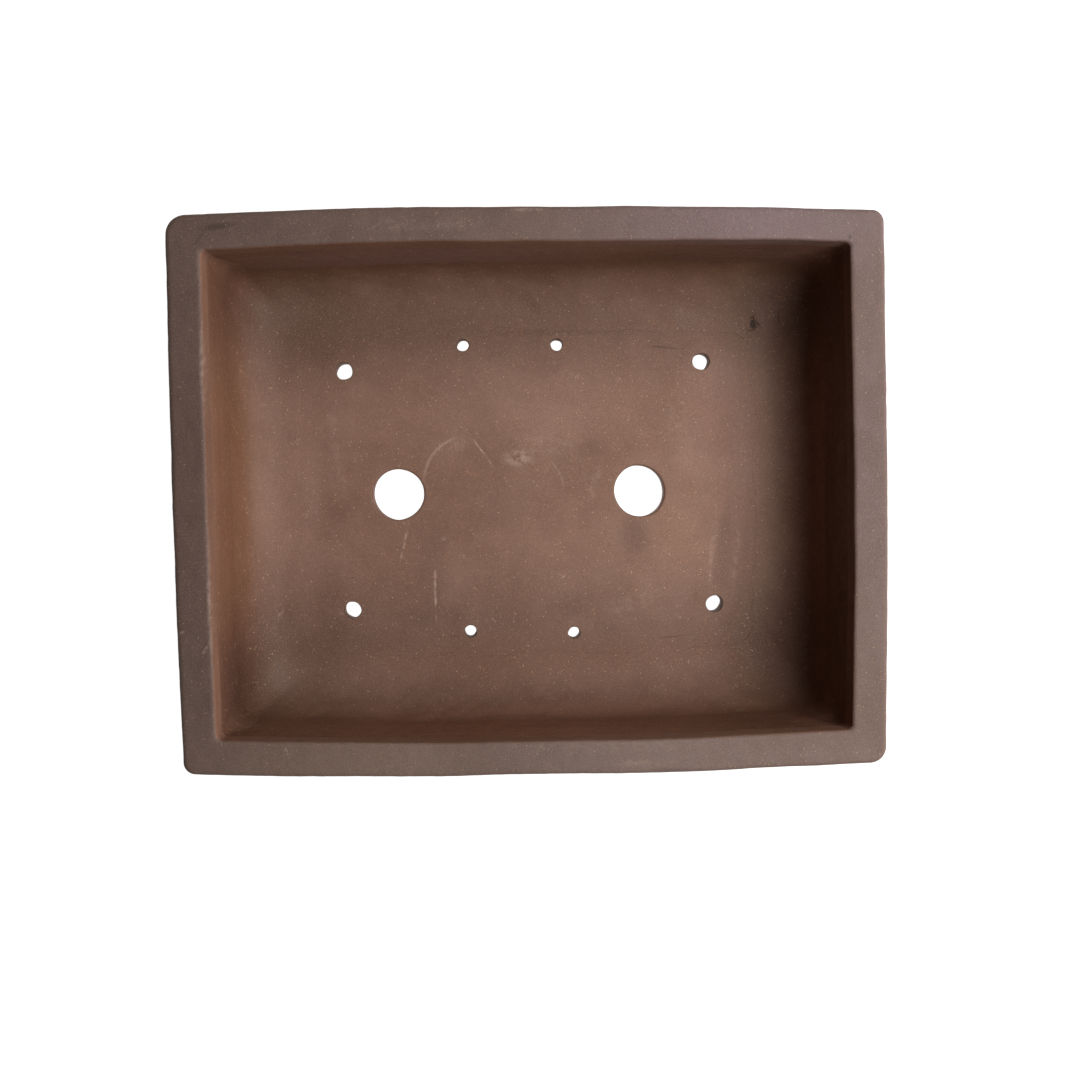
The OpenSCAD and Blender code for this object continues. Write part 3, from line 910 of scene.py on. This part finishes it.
def floor_slab():
    """The slab: two pierced faces joined by the holes' walls and by its outer edge."""
    mounts = [m for m in frame["record"]["mounts"] if m["kind"] == "bore"]
    holes = [hole_shape(m, 360 + k) for k, m in enumerate(mounts)]
    outline = []
    for side, quarters in SIDES.values():
        plan, _ = on_side(side, stations(side, 1.6)[::-1], WALL_FOOT, WALL_CORNER)
        outline.append(turned(plan, quarters)[:-1])
    outline = np.concatenate(outline)
    rounded = outline * (1 - ROUND_FOOT / np.linalg.norm(outline, axis=1)[:, None])

    top, top_faces, top_loops = slab_face(outline, holes, "top", TOP_STEP)
    under, under_faces, under_loops = slab_face(rounded, holes, "bottom", UNDER_STEP)

    flat = at_height(top, FLOOR_TOP)
    seen = (np.abs(top) < SEEN_HALF).all(1)
    top_points = flat + drift(flat)
    top_points[:, 2] += np.where(seen, floor_relief(flat), 0) - lip_drop(top, holes, "top")
    flat = at_height(under, FLOOR_UNDER)
    rough = 0.16 * noise(flat, 30.0, 371) + 0.07 * noise(flat, 8.0, 372)
    under_points = flat + drift(flat)
    under_points[:, 2] += np.clip(rough, -0.4, 0.4) + lip_drop(under, holes, "bottom")

    points = [top_points, under_points]
    faces = top_faces.tolist() + (under_faces[:, ::-1] + len(top)).tolist()

    def skin(top_loop, levels, under_loop):
        """Faces from a loop of the top through levels of new points to a loop of the underside."""
        loops = [top_loop]
        for level in levels:
            start = sum(len(p) for p in points)
            points.append(level)
            loops.append(list(range(start, start + len(level))))
        loops.append([i + len(top) for i in under_loop])
        n = len(top_loop)
        for a, b in zip(loops, loops[1:]):
            faces.extend([a[k], b[k], b[(k + 1) % n], a[(k + 1) % n]] for k in range(n))

    for number, (hole, top_loop, under_loop) in enumerate(zip(holes, top_loops[1:], under_loops[1:])):
        levels = []
        for z in np.linspace(FLOOR_TOP - hole["lip"] - 0.5, FLOOR_UNDER + hole["lip"] + 0.5, 8):
            w = (FLOOR_TOP - z) / (FLOOR_TOP - FLOOR_UNDER)
            radius = hole["top"] * (1 - w) + hole["bottom"] * w
            wander = noise(at_height(ring(hole, radius), z) * [1, 1, 0.6], 4.0, 380 + number)
            level = at_height(ring(hole, radius + hole["rough"] * hole["radius"] * wander), z)
            levels.append(level + drift(level))
        skin(top_loop, levels, under_loop)

    levels = [at_height(outline, z) for z in np.arange(FLOOR_TOP - 1.5, FLOOR_UNDER + ROUND_FOOT, -1.5)]
    for turn in np.radians((30, 60)):
        plan = outline + (rounded - outline) * (1 - math.cos(turn))
        levels.append(at_height(plan, FLOOR_UNDER + ROUND_FOOT * (1 - math.sin(turn))))
    skin(top_loops[0], [level + drift(level) for level in levels], under_loops[0])
    return make_piece("floor_slab", np.concatenate(points), faces, floor_clay)


floor_slab()


# ---------------------------------------------------------------- feet

INTO_SLAB = 0.8  # how far a foot's top runs into the slab
FOOT_VOXEL, SOFTENING, SOFTENINGS = 1.1, 0.6, 7
SHAVED = 0.15  # how much of a foot's underside is levelled


def foot(name, signs):
    """An L-shaped bracket foot with scooped leg ends, its edges softened as pressed clay."""
    inset = WALL_FOOT + FOOT_SETBACK
    corner = np.array([LENGTH / 2 - SHORT_BOW - inset, WIDTH / 2 - LONG_BOW - inset])
    top = FLOOR_UNDER + INTO_SLAB
    steps = np.concatenate([np.linspace(0, FOOT_SCOOP, 12), np.linspace(FOOT_SCOOP, FOOT_LEG, 40)[1:]])
    low = np.sqrt(np.clip(FOOT_SCOOP ** 2 - np.minimum(steps, FOOT_SCOOP) ** 2, 0, None))
    rows = []
    for leg in (0, 1):
        for distance, z in (zip(steps, low) if leg == 0 else zip(steps[::-1], low[::-1])):
            row = []
            for u, height in ((0, z), (0, top), (FOOT_THICKNESS, top), (FOOT_THICKNESS, z)):
                run = FOOT_LEG - (FOOT_LEG - u) * distance / FOOT_LEG
                plan = corner - ([run, u] if leg == 0 else [u, run])
                row.append([*plan, height])
            rows.append(row)
    del rows[len(steps)]  # the mitre, which both legs give
    points = np.array(rows) * [*signs, 1]
    piece = make_piece(name, points.reshape(-1, 3), tube_faces(*points.shape[:2]), foot_clay,
                       smooth_below=180)
    remesh = piece.modifiers.new("remesh", "REMESH")
    remesh.mode, remesh.voxel_size, remesh.use_smooth_shade = "VOXEL", FOOT_VOXEL * MM, True
    soften = piece.modifiers.new("soften", "SMOOTH")
    soften.factor, soften.iterations = SOFTENING, SOFTENINGS
    settled = bpy.data.meshes.new_from_object(piece.evaluated_get(bpy.context.evaluated_depsgraph_get()))
    piece.modifiers.clear()
    old, piece.data = piece.data, settled
    bpy.data.meshes.remove(old)

    place = np.empty(len(settled.vertices) * 3)
    settled.vertices.foreach_get("co", place)
    place = place.reshape(-1, 3) / MM
    place[:, 2] = np.maximum(place[:, 2], place[:, 2].min() + SHAVED)
    place[:, 2] -= place[:, 2].min()
    dabs = np.stack([noise(place, 14, seed) for seed in (391, 392, 393)], -1)
    place = place + drift(place) + 0.12 * dabs * ease(place[:, 2:] / 3)
    place[:, 2] = np.clip(place[:, 2], 0, None)
    settled.vertices.foreach_set("co", (place * MM).ravel())
    settled.update()
    settled.name = name
    return piece


for corner_name, signs in CORNERS:
    foot(corner_name + "_foot", signs)


# ---------------------------------------------------------------- studio

STUDIO_HALF = 3.0
STUDIO_SINK = 0.0005  # the studio floor lies this far under the feet
WORLD_LIGHT, WORLD_LOOK = 0.02, 1.04  # how bright the surroundings are to the pot, and to the camera


def studio_floor():
    """A pale floor that glows a little, so that it stays pale in the pot's shade. It is clear from below."""
    mesh = bpy.data.meshes.new("studio_floor")
    corners = [(x * STUDIO_HALF, y * STUDIO_HALF, 0) for x, y in ((-1, -1), (1, -1), (1, 1), (-1, 1))]
    mesh.from_pydata(corners, [], [(0, 1, 2, 3)])
    g = Graph("studio_floor")
    pale = g.add("BsdfPrincipled", {"Base Color": rgb(0.22, 0.22, 0.22), "Roughness": 0.9,
                                    "Specular IOR Level": 0.0, "Emission Color": rgb(1.0, 1.0, 1.0),
                                    "Emission Strength": 1.0})
    below = g.add("NewGeometry").outputs["Backfacing"]
    clear = g.add("BsdfTransparent")
    seen = g.add("MixShader", {0: below, 1: pale.outputs[0], 2: clear.outputs[0]})
    g.add("OutputMaterial", {0: seen.outputs[0]})
    mesh.materials.append(g.material)
    floor = bpy.data.objects.new("studio_floor", mesh)
    floor.location.z = -STUDIO_SINK
    bpy.context.scene.collection.objects.link(floor)


def area_light(name, place, target, size, power, colour):
    """A soft light that looks at a point. Its sizes are along X and Y when it looks straight down."""
    data = bpy.data.lights.new(name, "AREA")
    data.shape, data.energy, data.color = "RECTANGLE", power, colour
    data.size, data.size_y = size
    light = bpy.data.objects.new(name, data)
    light.location = place
    away = np.array(place, float) - np.array(target, float)
    flat = math.hypot(away[0], away[1])
    light.rotation_euler = (math.atan2(flat, away[2]), 0, math.atan2(away[0], -away[1]) if flat else 0)
    bpy.context.scene.collection.objects.link(light)


def surroundings():
    """They light the pot dimly, but look as pale as the floor."""
    world = bpy.data.worlds.new("studio")
    world.use_nodes = True
    nodes, links = world.node_tree.nodes, world.node_tree.links
    background = nodes["Background"]
    background.inputs["Color"].default_value = rgb(1.0, 0.98, 0.96)
    glow = nodes.new("ShaderNodeMapRange")
    glow.inputs["To Min"].default_value, glow.inputs["To Max"].default_value = WORLD_LIGHT, WORLD_LOOK
    links.new(nodes.new("ShaderNodeLightPath").outputs["Is Camera Ray"], glow.inputs["Value"])
    links.new(glow.outputs["Result"], background.inputs["Strength"])
    bpy.context.scene.world = world


def photo_camera():
    """The camera at the photograph's viewing angle, nearly straight above the pot."""
    data = bpy.data.cameras.new("camera")
    data.lens, data.sensor_width = 44.67, 36.0
    data.shift_y = 0.0222
    data.clip_start = 0.02
    camera = bpy.data.objects.new("camera", data)
    camera.location = (-0.0177, 0.0048, 0.8725)
    camera.rotation_euler = tuple(math.radians(a) for a in (-3.34, -1.68, -0.94))
    bpy.context.scene.collection.objects.link(camera)
    bpy.context.scene.camera = camera


studio_floor()
# One level soft box over the right half, and a weak light from the right
area_light("key", (0.478, 0.03, 0.925), (0.478, 0.03, 0.0), (0.484, 1.3), 15.8, (1.0, 0.97, 0.93))
area_light("side", (1.6, 0.0, 0.42), (0.0, 0.0, 0.10), (1.6, 0.5), 18.0, (1.0, 0.98, 0.95))
surroundings()
photo_camera()
bpy.context.scene.view_settings.view_transform = "Standard"
